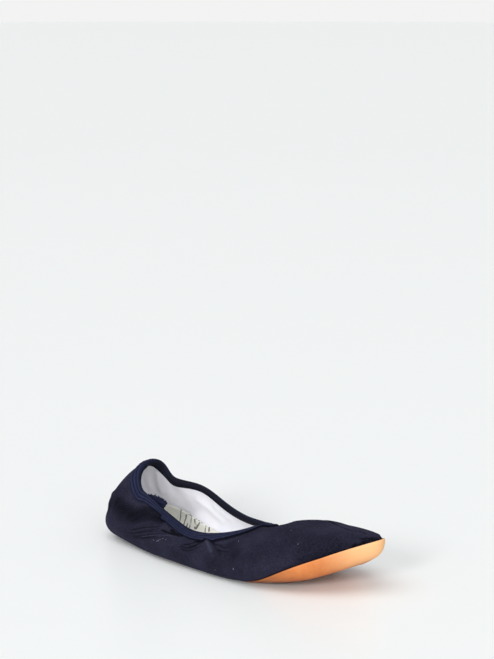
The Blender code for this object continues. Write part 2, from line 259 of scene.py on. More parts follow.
def all_stations(level):
    return np.broadcast_to(np.asarray(level, float), (STATIONS,))


def skin(level):
    level = all_stations(level)[:, None]
    bottom = foot + (spine - foot) * np.clip(-level, 0, 1)
    bottom[:, 2] = STAND + ground(bottom[:, 0])
    turn = np.clip(level, 0, 1) * math.pi / 2
    under = foot + (side - foot) * np.concatenate([np.sin(turn), np.sin(turn), 1 - np.cos(turn)], 1)
    t = np.clip(level - 1, 0, 1)
    out = (side - collar) * [1, 1, 0]
    above = side + UPRIGHT * rise
    leave = collar + unit(out) * reach + UPRIGHT * lift
    wall = (1 - t) ** 3 * side + 3 * (1 - t) ** 2 * t * above
    wall = wall + 3 * (1 - t) * t**2 * leave + t**3 * collar
    return np.where(level <= 0, bottom, np.where(level <= 1, under, wall))


def outward(level):
    level = all_stations(level)
    here = skin(level)
    up = skin(np.minimum(level + STEP, 2)) - skin(np.maximum(level - STEP, STEP))
    along = np.roll(here, -1, 0) - np.roll(here, 1, 0)
    slope = (ground(here[:, 0] + STEP) - ground(here[:, 0])) / STEP
    down = unit(np.stack([slope, 0 * slope, -1 + 0 * slope], 1))
    return np.where(level[:, None] <= STEP, down, unit(np.cross(along, up)))


def layer(level, depth):
    """The skin at a level, moved inside by a depth."""
    return skin(level) - outward(level) * all_stations(depth)[:, None]


collar_length = np.linalg.norm(np.roll(collar, -1, 0) - collar, axis=1).sum()
print("the collar is", round(collar_length * 1000), "mm round")


# %% [markdown]
# ### What lies on what
#
# A slipper is built up from the floor: rubber, the upper's turned-in edge,
# then the sock. Each function below says how deep one face of one piece lies,
# and it is worked out from the face under it, which keeps a gap between them.


# %% How deep each face lies
def sole_under(level):
    return -STAND * (1 - ease(level / SOLE_TURN)) + 0 * edge


def sole_top(level):
    return sole_under(level) + SOLE_RIM + (SOLE - SOLE_RIM) * ease((edge - level) / THINNING)


def upper_outside(level):
    past = ease((level - edge) / JOG)
    return (sole_top(np.minimum(level, edge)) + GAP) * (1 - past)


def sock_under(level):
    middle = SOLE - STAND + GAP
    on_edge = middle + WALL + GAP
    on_side = upper_outside(level) + WALL + GAP + SLACK * ease(level / LEAN_START)
    near = on_edge + (on_side - on_edge) * ease((level - LEAN_START) / LEAN)
    return np.where(level < MARGIN - SOCK_STEP / 2, middle, np.maximum(near, on_side))


def sock_top(level):
    return np.maximum(sock_under(level), sock_under(level * 0 + MARGIN)) + SOCK


def levels(low, high, steps):
    return [low + (high - low) * k / steps + 0 * edge for k in range(steps + 1)]


# %% [markdown]
# ## Meshes from rings
#
# Each piece is a stack of rings, one vertex per station, and the last ring
# joins the first. That makes a closed body with one grid of quads, which
# shades smoothly and unrolls simply: u runs along the shoe and v up its wall,
# both in metres, so a weave has its real size everywhere.


# %% The ring mesh
def ring_mesh(name, rings, finish, **marks):
    """A closed body from rings, each point already in its place; marks are values per point."""
    rings = [np.asarray(r, float) for r in rings]
    count = len(rings[0])
    turns = len(rings)
    points = np.concatenate(rings) - CENTRE
    r, i = np.meshgrid(np.arange(turns), np.arange(count), indexing="ij")
    q, j = (r + 1) % turns, (i + 1) % count
    faces = np.stack([r * count + i, r * count + j, q * count + j, q * count + i], -1).reshape(-1, 4)
    mesh = bpy.data.meshes.new(name)
    mesh.from_pydata(points.tolist(), [], faces.tolist())
    along = np.linalg.norm(np.roll(side, -1, 0) - side, axis=1)
    u = np.concatenate([[0], along.cumsum()])
    steps = [np.linalg.norm(rings[k] - rings[k - 1], axis=1).mean() for k in range(1, turns)]
    v = np.concatenate([[0], np.cumsum(steps), [sum(steps) + 0.001]])
    corners = np.stack(
        [np.stack([u[i], v[r]], -1), np.stack([u[i + 1], v[r]], -1),
         np.stack([u[i + 1], v[r + 1]], -1), np.stack([u[i], v[r + 1]], -1)], -2,
    ).reshape(-1, 2)
    mesh.uv_layers.new(name="lay").data.foreach_set("uv", corners.ravel())
    for mark, rows in marks.items():
        values = np.concatenate(rows).astype("f")
        mesh.attributes.new(mark, "FLOAT", "POINT").data.foreach_set("value", values)
    return shown(mesh, name, finish)


def shown(mesh, name, finish):
    """A mesh as a piece that rides with the shoe, smooth, with its finish."""
    mesh.validate()
    mesh.shade_smooth()
    mesh.materials.append(finish)
    body = bpy.data.objects.new(name, mesh)
    bpy.context.scene.collection.objects.link(body)
    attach(body, "root")
    print(name, "has", len(mesh.vertices), "points")
    return body


# %% [markdown]
# ### Sheets that meet on a middle line
#
# The rings of the sole and of the sock run to the middle of the bottom, where
# the two halves of the sheet meet. `weld` joins the points that lie on one
# another there. It keeps sharp turns as edges, because smooth shading across
# them would draw a false crease down the sole.


# %% Welding
SHARP_TURN = math.radians(80)  # a turn between two faces that stays an edge


def weld(body, distance=0.00001):
    """Join the points that lie on one another, and turn the faces outwards.

    A sheet's two halves meet on its middle line, inside its thickness. The
    edges there are kept sharp, so that the flat sheet is shaded flat across.
    """
    mesh = bmesh.new()
    mesh.from_mesh(body.data)
    bmesh.ops.remove_doubles(mesh, verts=mesh.verts, dist=distance)
    bmesh.ops.recalc_face_normals(mesh, faces=mesh.faces)
    for line in mesh.edges:
        line.smooth = len(line.link_faces) == 2 and line.calc_face_angle(0) < SHARP_TURN
    mesh.to_mesh(body.data)
    mesh.free()
    body.data.shade_smooth()
    sharp = sum(line.use_edge_sharp for line in body.data.edges)
    print(body.name, "keeps", sharp, "edges sharp")


# %% [markdown]
# ## Folds and creases
#
# Canvas has no stretch, so where the elastic pulls the collar in, the cloth
# below it gathers. A simulation could find some folds, but not the ones of
# this shoe, which years of the same foot and the same shelf have set. So each
# main fold is given as a path across the sections, pressed in or raised by
# some millimetres, and soft to both sides. Places on a path are section,level
# pairs, so a fold stays where it is on the shoe.
#
# A fan is a row of small folds between a first and a last path, for parallel
# gathers such as those that run from the pinch towards the heel.

# %% The folds, listed
FOLDS = """
name           width_mm depth_mm path
under_hood        6.2   -2.4  1.10,1.24 1.56,1.25 2.01,1.25 2.48,1.28 2.91,1.34 3.42,1.41 \
                              3.90,1.49 4.27,1.60 4.50,1.70 4.75,1.76 5.05,1.80
back_hollow       4.0   -0.9  0.1,1.15 0.8,1.13 1.4,1.13 2.0,1.16
under_hood_end    3.6   -1.8  3.6,1.56 4.0,1.62 4.3,1.68 4.5,1.74 4.7,1.80 5.0,1.84
hood_rim          1.6    0.9  1.5,1.38 1.8,1.42 2.13,1.46 2.48,1.56 2.76,1.62 3.36,1.67 4.0,1.72 4.3,1.78
hood_bump         2.2    0.7  0.9,1.33 1.3,1.36 1.7,1.40 2.1,1.46
smooth_swell      2.2    0.9  2.5,0.98 3.1,1.10 3.5,1.20 4.1,1.34 4.5,1.48 4.8,1.62
lap_fold_a        0.8   -0.5  4.26,1.56 4.52,1.69 4.64,1.72 4.78,1.73
pinch_pocket      1.0   -1.2  5.12,1.62 5.20,1.64 5.30,1.62 5.40,1.61 5.52,1.64 5.75,1.68
pocket_tail       0.9   -1.1  4.80,1.46 4.95,1.49 5.08,1.50 5.25,1.55 5.42,1.56 5.56,1.62 5.78,1.69
pocket_lip        0.5    0.5  3.89,1.00 4.24,1.11 4.70,1.24 5.07,1.38 5.36,1.49 5.60,1.58
smile_a           0.7   -1.0  5.80,1.36 5.95,1.36 6.12,1.44 6.27,1.57 6.39,1.67 6.52,1.71 6.6,1.71
smile_b           0.7   -1.0  6.05,1.30 6.18,1.33 6.34,1.44 6.44,1.53 6.57,1.63 6.7,1.7
smile_c           0.5   -0.6  5.70,1.26 5.84,1.24 5.99,1.23 6.14,1.26 6.30,1.36 6.45,1.45
smile_d           0.5   -0.5  5.75,1.15 5.89,1.13 6.07,1.13 6.27,1.22 6.46,1.36 6.60,1.50
smile_e           0.5   -0.6  5.90,1.80 6.04,1.79 6.20,1.77 6.37,1.74 6.50,1.71
knot              1.3   -1.4  6.30,1.60 6.42,1.62 6.50,1.64 6.62,1.67
puff              2.2    1.3  6.68,1.76 6.75,1.62 6.86,1.47 7.00,1.32 7.11,1.22 7.2,1.14
puff_crown        1.3    0.7  6.72,1.70 6.80,1.56 6.90,1.44 7.00,1.32 7.10,1.22
puff_shade        1.5   -1.0  6.90,1.70 6.98,1.59 7.10,1.45 7.22,1.34 7.31,1.27 7.45,1.20
shallow           5.0   -1.2  7.60,1.58 7.65,1.54 7.79,1.40 7.94,1.29 8.01,1.15
small_a           0.7   -0.50 6.95,1.58 7.01,1.57 7.14,1.52 7.31,1.50 7.45,1.50
small_b           0.7   -0.45 7.25,1.49 7.31,1.48 7.48,1.43 7.63,1.43
small_c           0.7   -0.45 7.18,1.38 7.27,1.36 7.47,1.33 7.72,1.34
waist_hollow      9.0   -0.8  6.6,1.0 7.2,1.05 7.8,1.1 8.4,1.15
throat_dip        8.0   -1.6  9.2,1.86 9.6,1.86 10.2,1.88 10.9,1.90 11.5,1.90 12.1,1.90 12.6,1.88
vamp_crest       11.0    1.3  11.0,1.94 11.2,1.90 11.5,1.80 11.7,1.70 11.8,1.60 11.85,1.50 11.85,1.42
toe_crumple       1.6   -1.4  10.66,1.14 10.76,1.14 10.86,1.15 10.94,1.13 11.04,1.11 11.12,1.10
toe_crimp_a       0.6   -0.7  10.66,1.17 10.72,1.20 10.79,1.17 10.85,1.20 10.90,1.16 10.96,1.17 11.04,1.14
toe_crimp_b       0.6   -0.9  10.88,1.12 10.92,1.13 10.96,1.10 11.03,1.12 11.12,1.10
toe_crimp_c       0.6   -0.9  10.66,1.09 10.72,1.13 10.77,1.10 10.82,1.13 10.88,1.10
toe_crimp_d       0.6   -0.8  10.46,1.04 10.55,1.07 10.63,1.06 10.70,1.09 10.78,1.08
toe_crimp_e       0.6   -0.6  10.50,1.06 10.56,1.10 10.60,1.15
toe_crimp_f       0.6   -0.5  11.15,1.06 11.18,1.10 11.22,1.18
toe_crimp_g       0.6   -0.5  11.32,1.06 11.34,1.09 11.38,1.16
"""
FANS = """
name         count width_mm depth_mm first_path | last_path
upper_gather     13   0.34  -0.50  1.80,1.17 1.96,1.24 2.15,1.36 2.35,1.49 | \
                              3.10,1.22 3.34,1.31 3.84,1.47 4.50,1.71
lower_gather      6   0.45  -0.60  2.80,0.92 3.52,1.11 4.11,1.25 4.54,1.40 4.86,1.57 | \
                              3.40,0.75 3.81,0.88 4.47,1.07 4.86,1.23 5.25,1.43
toe_gather      14   0.50  -0.35  9.55,1.12 9.62,1.02 | 10.42,1.18 10.48,1.08
medial_gather    6   0.80  -0.38  17.2,1.66 18.0,1.50 18.8,1.34 | 17.6,1.84 18.4,1.78 19.3,1.66
medial_back      5   0.80  -0.34  16.6,1.66 16.0,1.48 15.4,1.36 | 16.8,1.84 16.1,1.76 15.4,1.68
"""


# %% Reading the tables of folds
def path_of(words):
    return np.array([[float(n) for n in word.split(",")] for word in words])


def table_of(text):
    """The rows of a small table: a name, some numbers, and what follows."""
    return [line.split() for line in text.strip().splitlines()[1:]]


creases = []  # (path, half width in metres, depth in metres)
for name, width, depth, *words in table_of(FOLDS):
    creases.append((path_of(words), float(width) / 1000, float(depth) / 1000))
for name, count, width, depth, *words in table_of(FANS):
    bar = words.index("|")
    first, last = path_of(words[:bar]), path_of(words[bar + 1 :])
    even = np.linspace(0, 1, 5)
    ends = [
        np.stack([np.interp(even, np.linspace(0, 1, len(p)), p[:, k]) for k in (0, 1)], 1)
        for p in (first, last)
    ]
    for k in range(int(count)):
        share = k / (int(count) - 1)
        bent = ends[0] + (ends[1] - ends[0]) * share
        short = 0.86 + 0.14 * math.sin(2.4 * k + len(name))
        bent = bent[-1] + (bent - bent[-1]) * short
        creases.append((bent, float(width) / 1000, float(depth) / 1000 * (0.8 + 0.2 * math.cos(1.7 * k))))
print(len(creases), "folds and gathers")


# %% [markdown]
# ### Pressing the folds in
#
# A fold is pressed in by distance: each point of the cloth looks for the
# nearest spot of the path and moves the less, the further off it lies. Wide
# folds bend canvas, lining and tape together, and narrow ones only the canvas.


# %% Pressing folds into the cloth
def station(section):
    """The station nearest to a place in the table."""
    return int(np.abs((place - section + ROWS / 2) % ROWS - ROWS / 2).argmin())


def spots(path, steps=24):
    """Points in space along a path of section,level pairs."""
    t = np.linspace(0, len(path) - 1, steps)
    k = np.arange(len(path))
    s = np.interp(t, k, path[:, 0])
    level = np.interp(t, k, path[:, 1])
    s = np.convolve(np.pad(s, 2, "edge"), np.ones(5) / 5, "valid")
    level = np.convolve(np.pad(level, 2, "edge"), np.ones(5) / 5, "valid")
    at = np.interp(s % ROWS, np.append(place, ROWS), np.arange(STATIONS + 1))
    low = at.astype(int)
    share = (at - low)[:, None]
    rows = [skin(v) for v in level]
    before = np.array([row[k % STATIONS] for row, k in zip(rows, low)])
    after = np.array([row[(k + 1) % STATIONS] for row, k in zip(rows, low)])
    return before + (after - before) * share


WIDE = 0.0014  # folds this wide also bend the cloths underneath
trails = [(spots(path), width, depth) for path, width, depth in creases]
wide_trails = [t for t in trails if t[1] > WIDE]
narrow_trails = [t for t in trails if t[1] <= WIDE]
print(len(wide_trails), "folds bend canvas, lining and tape,", len(narrow_trails), "only the canvas")


def pressed(points, chosen):
    """How far the chosen folds push each point out, in metres."""
    push = np.zeros(len(points))
    for trail, width, depth in chosen:
        reach_out = 3 * width
        low, high = trail.min(0) - reach_out, trail.max(0) + reach_out
        close = np.flatnonzero(((points > low) & (points < high)).all(1))
        if not len(close):
            continue
        start, step = trail[:-1], np.diff(trail, axis=0)
        away = points[close, None, :] - start[None]
        t = np.clip((away * step).sum(-1) / np.maximum((step**2).sum(-1), 1e-14), 0, 1)
        gap = np.linalg.norm(away - t[..., None] * step, axis=-1)
        best = gap.argmin(1)
        where = (best + t[np.arange(len(close)), best]) / (len(trail) - 1)
        length = np.linalg.norm(step, axis=1).sum()
        soft = min(max(1.5 * width / length, 0.15), 0.5)  # a wide fold dies away over a longer share
        fade = ease(where / soft) * ease((1 - where) / soft)
        push[close] += depth * fade * np.exp(-((gap.min(1) / width) ** 2))
    return push


# %% [markdown]
# ## The toe seam and the puckers at the binding
#
# The two halves of the vamp meet in a seam that is sewn from the inside. It
# shows as a thin groove with a soft roll on either side, and it wanders a
# little to the outer side before it reaches the toe. Along the binding the
# stretched elastic has drawn the canvas into small upright puckers.

# %% Seam and puckers
SEAM_PATH = path_of(
    "10.98,1.26 11.02,1.32 10.94,1.37 10.91,1.41 11.05,1.48 11.28,1.56"
    " 11.60,1.60 11.87,1.64 11.95,1.72 11.80,1.86 11.60,2.0".split()
)
SEAM_HALF = 0.0008  # how far the groove reaches to either side
SEAM_DEPTH = 0.0014
SEAM_ROLL = 0.0022  # and how far the soft roll beside it does
SEAM_RISE = 0.00045  # how high the cloth rolls up beside the seam
seam_trail = spots(SEAM_PATH, 60)
gone = np.linalg.norm(np.roll(side, -1, 0) - side, axis=1).cumsum()  # metres along the outline
PUCKER = 0.0034  # from one pucker to the next
PUCKER_RISE = 0.00014  # where the pull is 1
EVEN_PULL = 0.35  # of the elastic, all round
PINCHES = ((5.3, 1.6, 0.65), (17.6, 1.3, 0.5))  # and more at two places: section, reach, share
pull = sum((much * np.exp(-(((place - at) / wide) ** 2)) for at, wide, much in PINCHES), EVEN_PULL)
wander = 0.9 * np.sin(gone * 71) + 0.7 * np.sin(gone * 163 + 2)


def on_tape(share):
    """The level of each station at a share of the tape's width down from the collar."""
    tries = np.linspace(2, 1.3, 71)
    path = np.stack([skin(level) for level in tries])
    gone_down = np.linalg.norm(np.diff(path, axis=0), axis=2).cumsum(0)
    gone_down = np.concatenate([np.zeros((1, STATIONS)), gone_down])
    return np.array([np.interp(tape[i] * share, gone_down[:, i], tries) for i in range(STATIONS)])


under_tape = on_tape(1.06)  # just below the tape, where its edge keeps the light off


def seam(points):
    gap = np.linalg.norm(points[:, None] - seam_trail[None], axis=2).min(1)
    return SEAM_RISE * np.exp(-((gap / SEAM_ROLL) ** 2)) - SEAM_DEPTH * np.exp(-((gap / SEAM_HALF) ** 2))


def puckers(level):
    """Small upright folds that hang from the binding."""
    wave = np.cos(2 * math.pi * gone / PUCKER + wander)
    below = np.clip((1.86 - level) / 0.30, 0, 1)
    return PUCKER_RISE * pull * wave * ease((2.0 - level) / 0.2) * (1 - ease(below))


# %% [markdown]
# ### All folds together
#
# Folds that cross would add up to spikes. So the narrow ones are summed and
# held softly under a limit, and the wide ones under another. All of them die
# away towards the rubber and the collar, where the cloth is held.


# %% Relief of the cloth
NARROW_LIMIT = 0.0008  # narrow folds that cross don't add up beyond this
WIDE_LIMIT = 0.0030


def relief(level):
    """Push of the wide folds and of the narrow ones at a level, in metres."""
    points = skin(level)
    hold = ease((level - edge + 0.02) / 0.06) * ease((2.02 - level) / 0.12)
    narrow = NARROW_LIMIT * np.tanh(pressed(points, narrow_trails) / NARROW_LIMIT)
    wide = WIDE_LIMIT * np.tanh(pressed(points, wide_trails) / WIDE_LIMIT)
    return wide * hold, (narrow + seam(points) + puckers(level)) * hold


def swell(level, fine=True):
    """How far the cloth stands out of the skin at a level, in metres."""
    wide, narrow = relief(level)
    return wide + narrow if fine else wide


# %% [markdown]
# ### Shade in the folds
#
# A dark cloth shows its creases mostly by their shade. Besides the shape, each
# point of the canvas therefore stores how deep it lies, and the shader paints
# shade into the colour there, and a paler highlight on the ridges.


# %% Shade of the cloth
# Cloth in a hollow, under the tape's edge or in the corner at the rubber gets
# less light. These say how much darker the canvas is made there.
FULL_HOLLOW = 0.0018  # a wide hollow this deep has all its shade
FULL_FOLD = 0.0007  # and so has a narrow fold this deep
TAPE_SHADE = 0.025  # the line under the tape fades over this many levels
TAPE_STANDS_OFF = (6.6, 9.2)  # between these sections that line is at its darkest
over_rubber = ease((edge - 0.1) / 0.3)  # where the canvas meets the sole on the side of the shoe
AT_SOLE = 1.3  # how dark the corner between canvas and rubber is
RUBBER_SHADE = 0.06  # and over how many levels that fades


def shaded(level):
    """How deep a place lies in a wide hollow, and how it lies in the narrow folds (-1 to 1)."""
    wide, narrow = relief(level)
    low, high = TAPE_STANDS_OFF
    # A painted shadow along the line under the tape's edge.
    tape_line = np.exp(-(((level - under_tape) / TAPE_SHADE) ** 2))
    tape_line = tape_line * (0.1 + 0.9 * (place > low) * (place < high))
    # Painted shade in the wide hollows.
    hollow = np.clip(-wide / FULL_HOLLOW, 0, 1)
    # Painted shade in the corner between canvas and rubber.
    corner = over_rubber * AT_SOLE * np.exp(-(level - edge) / RUBBER_SHADE)
    return hollow + corner, np.clip(narrow / FULL_FOLD - tape_line, -1, 1)


print("the seam has", len(seam_trail), "spots; puckers stand", round(PUCKER * 1000, 1), "mm apart")


# %% [markdown]
# ## Materials
#
# Each finish is a Principled shader fed by a few procedural nodes. A small
# helper adds a node and sets its inputs by name, which keeps the recipes
# readable. Values that are the same all over are set on the shader itself.


# %% Node helpers
def recipe(name):
    """A new material with its node tree and its shader."""
    material = bpy.data.materials.new(name)
    material.use_nodes = True
    tree = material.node_tree
    return material, tree, tree.nodes["Principled BSDF"]


def add(tree, kind, *wires, **values):
    """A node of a kind; wires are (socket, input name or number), values set attributes or inputs."""
    made = tree.nodes.new("ShaderNode" + kind)
    for name, value in values.items():
        if hasattr(made, name):
            setattr(made, name, value)
        else:
            made.inputs[name.replace("_", " ")].default_value = value
    for source, target in wires:
        tree.links.new(source, made.inputs[target])
    return made


def maths(tree, work, *terms):
    """The result of a calculation; each term is a number or a socket."""
    made = add(tree, "Math", operation=work)
    for k, value in enumerate(terms):
        if isinstance(value, (int, float)):
            made.inputs[k].default_value = value
        else:
            tree.links.new(value, made.inputs[k])
    return made.outputs[0]


def blend(tree, amount, low, high):
    """A colour between two, by an amount; either may be a socket or a colour."""
    made = tree.nodes.new("ShaderNodeMix")
    made.data_type = "RGBA"
    for value, socket in ((amount, 0), (low, 6), (high, 7)):
        if isinstance(value, (tuple, float, int)):
            made.inputs[socket].default_value = value
        else:
            tree.links.new(value, made.inputs[socket])
    return made.outputs[2]


def ramp(tree, source, low, high):
    """0 below low, 1 above high, and smooth between."""
    made = tree.nodes.new("ShaderNodeMapRange")
    made.interpolation_type = "SMOOTHSTEP"
    tree.links.new(source, made.inputs["Value"])
    made.inputs["From Min"].default_value = low
    made.inputs["From Max"].default_value = high
    return made.outputs["Result"]


# %% Helpers for patterns and surfaces
def wave(tree, source, period):
    """A smooth 0 to 1 wave of a length in metres."""
    turned = maths(tree, "MULTIPLY", source, 2 * math.pi / period)
    return maths(tree, "MULTIPLY_ADD", maths(tree, "SINE", turned), 0.5, 0.5)


def own_space(tree):
    """The place on the shoe itself, in metres."""
    return add(tree, "TexCoord").outputs["Object"]


def texture(tree, kind, **values):
    """A procedural texture that lies still on the shoe."""
    return add(tree, "Tex" + kind, (own_space(tree), "Vector"), **values)


def bumped(tree, shader, height, strength, depth):
    """Raise the surface by a height, in the shading only."""
    raised = add(tree, "Bump", (height, "Height"), Strength=strength, Distance=depth)
    tree.links.new(raised.outputs[0], shader.inputs["Normal"])


def settle(shader, **values):
    """Set the values that are the same all over, by their names."""
    for name, value in values.items():
        shader.inputs[name.replace("_", " ")].default_value = value


def lay(tree):
    """The piece's own u and v, in metres."""
    split = add(tree, "SeparateXYZ", (add(tree, "UVMap", uv_map="lay").outputs[0], 0))
    return split.outputs[0], split.outputs[1]


def colour(r, g, b):
    """A colour as it looks, 0 to 255, turned into the light that it sends back."""
    parts = [c / 255 for c in (r, g, b)]
    return tuple(c / 12.92 if c <= 0.04045 else ((c + 0.055) / 1.055) ** 2.4 for c in parts) + (1.0,)


# %% [markdown]
# ### Canvas and lining
#
# The canvas is a tight twill: fine slanting ribs, two threads wide. Cotton
# keeps a dusty bloom, which a little sheen gives, and its navy is never quite
# even. The lining is a plain weave, so its bump is two crossed waves. The
# elastic comes with the binding. Two marks stored on the mesh, `fold` and
# `hollow`, tell the shader where to paint shade into creases and hollows, and
# a paler highlight onto ridges.


# %% Cloth recipes
BLACK = (0, 0, 0, 1)
# A ridge is made paler, a painted highlight, and a hollow darker towards black, a painted shade.
HIGHLIGHT_SHARE = 0.6  # how much a ridge takes of the paler colour
HOLLOW_SHARE = 0.62  # how much a full hollow takes of black


def folded(tree, tone, deep, pale_and_highlight):
    """A colour with painted shade in folds and hollows and a painted highlight on ridges."""
    fold = add(tree, "Attribute", attribute_name="fold").outputs["Fac"]
    hollow = add(tree, "Attribute", attribute_name="hollow").outputs["Fac"]
    # Painted shade in the narrow folds, the seam and the line under the tape's edge.
    tone = blend(tree, ramp(tree, fold, 0.15, -1.0), tone, deep)
    # Painted highlight on the ridges.
    tone = blend(tree, maths(tree, "MULTIPLY", ramp(tree, fold, 0.0, 1.0), HIGHLIGHT_SHARE), tone, pale_and_highlight)
    # Painted shade in the wide hollows and in the corner at the rubber.
    return blend(tree, maths(tree, "MULTIPLY", hollow, HOLLOW_SHARE), tone, BLACK)


def twill(name, dark, light, deep, pale_and_highlight, pitch, bump, rough, sheen):
    material, tree, shader = recipe(name)
    u, v = lay(tree)
    slant = wave(tree, maths(tree, "ADD", u, v), pitch)
    threads = wave(tree, maths(tree, "SUBTRACT", u, maths(tree, "MULTIPLY", v, 0.6)), pitch * 0.6)
    weave = maths(tree, "MULTIPLY_ADD", maths(tree, "MULTIPLY", slant, threads), 0.7, 0.5)
    cloud = texture(tree, "Noise", Scale=38.0, Detail=5.0, Roughness=0.6)
    slub = texture(tree, "Noise", Scale=950.0, Detail=2.0)
    patchy = maths(tree, "MULTIPLY", ramp(tree, cloud.outputs["Fac"], 0.35, 0.68), 0.55)
    knotty = maths(tree, "MULTIPLY", ramp(tree, slub.outputs["Fac"], 0.38, 0.62), 0.45)
    mottle = maths(tree, "ADD", patchy, knotty)
    tone = folded(tree, blend(tree, mottle, dark, light), deep, pale_and_highlight)
    tree.links.new(tone, shader.inputs["Base Color"])
    height = maths(tree, "ADD", weave, maths(tree, "MULTIPLY", slub.outputs["Fac"], 0.5))
    bumped(tree, shader, height, 0.8, bump)
    settle(shader, Roughness=rough, Sheen_Weight=sheen, Sheen_Roughness=0.5)
    settle(shader, Sheen_Tint=colour(150, 150, 205), Specular_IOR_Level=0.04)
    return material


def plain_weave(name, dark, light, pitch, bump):
    material, tree, shader = recipe(name)
    u, v = lay(tree)
    weave = maths(tree, "MULTIPLY", wave(tree, u, pitch), wave(tree, v, pitch))
    cloud = texture(tree, "Noise", Scale=60.0, Detail=4.0)
    mottle = ramp(tree, cloud.outputs["Fac"], 0.3, 0.7)
    tree.links.new(blend(tree, mottle, dark, light), shader.inputs["Base Color"])
    bumped(tree, shader, weave, 0.6, bump)
    settle(shader, Roughness=0.9, Sheen_Weight=0.15, Specular_IOR_Level=0.2)
    return material


# %% Finishes of canvas and lining
# The third colour is the painted shade in folds and hollows, the fourth the painted highlight on ridges.
canvas_finish = twill(
    "navy_canvas", colour(21, 21, 33), colour(42, 42, 58), colour(10, 10, 15), colour(60, 60, 78),
    pitch=0.0009, bump=0.00012, rough=0.9, sheen=0.05,
)
lining_finish = plain_weave(
    "cotton_lining", colour(232, 232, 240), colour(240, 240, 246), pitch=0.0007, bump=0.00008
)
print("finishes:", canvas_finish.name, lining_finish.name)


# %% [markdown]
# ## The canvas
#
# The canvas is the outer cloth of the upper. It starts as a turned-in edge
# under the insole, comes out over the rim of the sole, and climbs to the
# collar. A few rings make the short slope from the rim out to the wall. The
# outside needs many rings so that gathers a few millimetres apart stay round;
# the inside is hidden by the lining and needs few.

# %% Canvas
CANVAS_RINGS = 120
BELOW_WIDEST = 0.22  # share of the rings that lie under the widest place


def turned_edge(steps):
    return levels(MARGIN, edge, steps)


def wall_levels(steps, below=0.45):
    """Rings from the rim of the sole to the collar, a share of them below the widest place."""
    first = round(steps * below)
    start = edge + JOG
    turn = np.maximum(1.0, start + (2 - start) * below * ease((start - 0.6) / 0.4))
    low = [start + (turn - start) * k / first for k in range(first)]
    return low + [turn + (2 - turn) * k / (steps - first) for k in range(steps - first + 1)]


seen = wall_levels(CANVAS_RINGS, BELOW_WIDEST)
outside = [layer(level, upper_outside(level)) for level in turned_edge(4)]
ONTO_SOLE = (0.15, 0.4, 0.7)  # rings on the slope from the sole's rim out to the wall
rim_ring, wall_ring = outside[-1], layer(seen[0], -swell(seen[0]))
outside += [rim_ring + (wall_ring - rim_ring) * share for share in ONTO_SOLE]
outside += [layer(level, -swell(level)) for level in seen]
inside = [
    layer(level, upper_outside(level) + CANVAS - swell(level, fine=False))
    for level in turned_edge(4) + wall_levels(14)
]
plain = [np.zeros(STATIONS)]
# Marks for the shader: painted shade in hollows, under the tape and at the rubber, and a painted
# highlight on ridges.
shades = [shaded(level) for level in [edge + JOG * share for share in (0, *ONTO_SOLE)] + seen]
under_foot, unseen = plain * (len(outside) - len(shades)), plain * len(inside)
canvas = ring_mesh(
    "canvas_upper", outside + inside[::-1], canvas_finish,
    hollow=under_foot + [wide for wide, _ in shades] + unseen,
    fold=under_foot + [narrow for _, narrow in shades] + unseen,
)
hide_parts("upper")

# %% [markdown]
# ## The lining
#
# The cotton lining is a second cloth inside the canvas, glued only at the
# sole and held at the collar. It follows the large folds of the canvas but
# not its gathers, and it bags a little on its own account. Four soft rolls of
# its own, at the heel and the waist, are given as paths like the folds.

# %% Lining
GLUE = 0.00008  # between canvas and lining
BAG = 0.0004  # how far the lining stands off the canvas in its own soft folds
LINING_ROLLS = """
name        width_mm depth_mm path
heel_roll      2.6   1.8  20.62,1.78 20.55,1.60 20.48,1.46 20.36,1.34 20.2,1.24
heel_roll_low  2.0   0.8  21.1,1.60 20.95,1.45 20.8,1.30 20.6,1.22
waist_roll     2.8   0.8  18.45,1.50 18.30,1.45 18.0,1.35 17.77,1.25 17.50,1.10 17.23,0.95
waist_roll_up  2.6   0.6  17.7,1.55 17.45,1.42 17.2,1.30 16.9,1.16
"""
rolls = [
    (spots(path_of(words)), float(width) / 1000, float(depth) / 1000)
    for name, width, depth, *words in table_of(LINING_ROLLS)
]


def bagging(level):
    wave_along = np.sin(gone * 95 + 3 * level) + 0.6 * np.sin(gone * 41 - 5 * level)
    free = ease((level - 0.9) / 0.4) * ease((1.95 - level) / 0.3)
    return BAG * (0.5 + 0.31 * wave_along) * free


backs, fronts = [], []
for level in turned_edge(3) + wall_levels(44):
    depth = upper_outside(level) + CANVAS + GLUE - swell(level, fine=False)
    backs.append(layer(level, depth))
    fronts.append(layer(level, depth + LINING + bagging(level) + pressed(skin(level), rolls)))
lining = ring_mesh("cotton_lining", backs + fronts[::-1], lining_finish)

# %% [markdown]
# ## The sole
#
# The sole is a thin sheet of tan rubber with a fine grain, cemented under the
# foot and drawn up round the forefoot, where it ends in a clean cut edge on
# the canvas. The cut edge is given three rings, so that it catches the light
# as a soft line and not as a knife's edge. The tan is painted darker low down,
# a painted contact shadow, and from the ball backwards, a painted shade, and
# it is painted paler at the toe's tip, as painted light. The shader reads that
# from the height and the place along the shoe.

